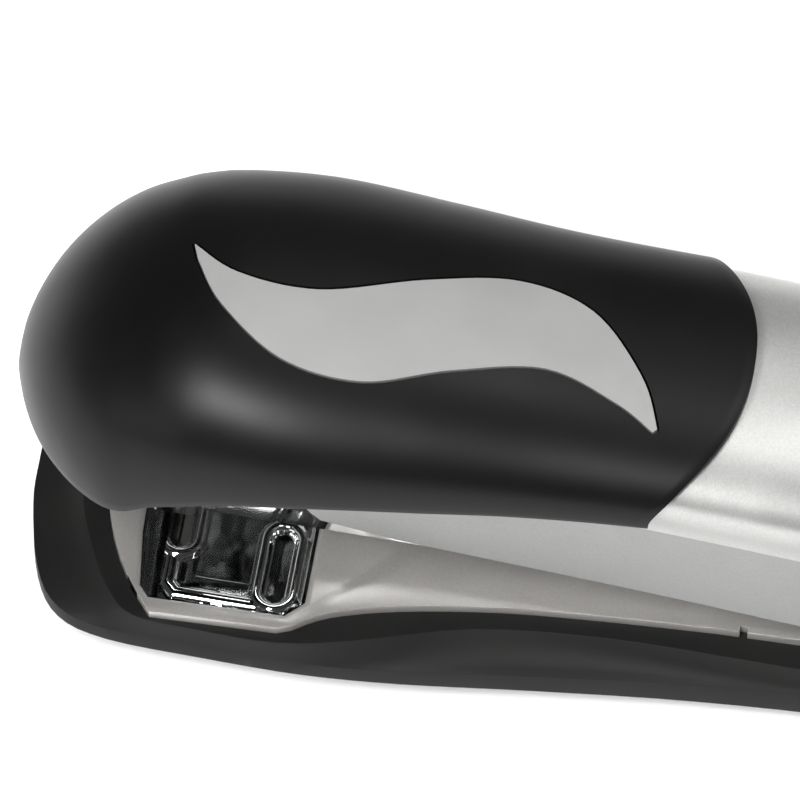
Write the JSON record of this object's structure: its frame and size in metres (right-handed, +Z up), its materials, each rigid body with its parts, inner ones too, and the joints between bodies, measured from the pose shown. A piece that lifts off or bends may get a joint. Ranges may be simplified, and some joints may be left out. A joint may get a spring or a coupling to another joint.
{
  "type": "desktop stapler",
  "caption": "Compact desktop stapler with a sprung handle, a staple magazine and a turnable anvil on a low base.",
  "frame": {"origin": "middle of the bounding box, on the surface the sole stands on", "axes": "+X towards the hinge and the heel, +Y to the left as seen by somebody behind the heel looking forward, +Z up"},
  "size_m": [0.1322, 0.0294, 0.0345],
  "materials": {
    "base_shell": "satin black moulding",
    "base_plate": "silver lacquered sheet steel",
    "sole": "matt rubber",
    "screws": "plain steel",
    "pin": "bright steel",
    "springs": "spring steel",
    "rivets": "plain steel",
    "anvil": "polished chrome",
    "magazine": "polished chrome",
    "rail": "plain steel",
    "staples": "galvanised wire",
    "pusher": "moulded black",
    "inner_cover": "plain sheet steel",
    "handle_body": "satin silver moulding",
    "handle_cover": "silver metallic lacquer",
    "cap": "soft-touch black",
    "wave_inlay": "satin light silver",
    "driver": "hardened steel"
  },
  "bodies": {
    "base": {"base_shell": "base_shell", "base_plate": "base_plate", "rubber_sole": "sole", "base_screws": "screws", "hinge_pin": "pin", "lift_spring": "springs", "lift_spring_rivet": "rivets"},
    "anvil": {"anvil_plate": "anvil", "anvil_post": "anvil", "anvil_spring": "springs"},
    "magazine": {"magazine_channel": "magazine", "magazine_nose": "magazine", "staple_rail": "rail", "staple_strip": "staples", "spring_rod": "pin", "rear_stop": "rail", "magazine_rivets": "rivets", "pusher_spring": "springs"},
    "pusher": {"pusher": "pusher"},
    "inner_cover": {"inner_cover": "inner_cover", "return_spring": "springs", "return_spring_rivet": "rivets"},
    "handle": {"handle_body": "handle_body", "handle_cover": "handle_cover", "cap": "cap", "wave_inlay": "wave_inlay", "driver_blade": "driver", "driver_bracket": "inner_cover", "driver_rivets": "rivets", "cap_screws": "screws"}
  },
  "joints": [
    {"name": "magazine_hinge", "type": "hinge", "parent": "base", "child": "magazine", "pos_m": [0.0439, 0, 0.016], "axis": [0, 1, 0], "range_deg": [-2.6, 0], "stiffness_Nm_per_rad": 6, "springref_deg": 1.72, "deforming": ["lift_spring"]},
    {"name": "loading_hinge", "type": "hinge", "parent": "magazine", "child": "inner_cover", "pos_m": [0.0439, 0, 0.016], "axis": [0, 1, 0], "range_deg": [0, 90]},
    {"name": "handle_hinge", "type": "hinge", "parent": "inner_cover", "child": "handle", "pos_m": [0.0439, 0, 0.016], "axis": [0, 1, 0], "range_deg": [-4.2, 0], "stiffness_Nm_per_rad": 5, "springref_deg": 1.15, "deforming": ["return_spring"]},
    {"name": "pusher_slide", "type": "slide", "parent": "magazine", "child": "pusher", "axis": [0.999, 0, -0.0454], "range_m": [0, 0.014], "stiffness_N_per_m": 80, "springref_m": -0.01, "deforming": ["pusher_spring"]},
    {"name": "anvil_lift", "type": "slide", "parent": "base", "child": "anvil", "axis": [0, 0, 1], "range_m": [0, 0.0018], "stiffness_N_per_m": 400, "springref_m": -0.001, "deforming": ["anvil_spring"]}
  ]
}
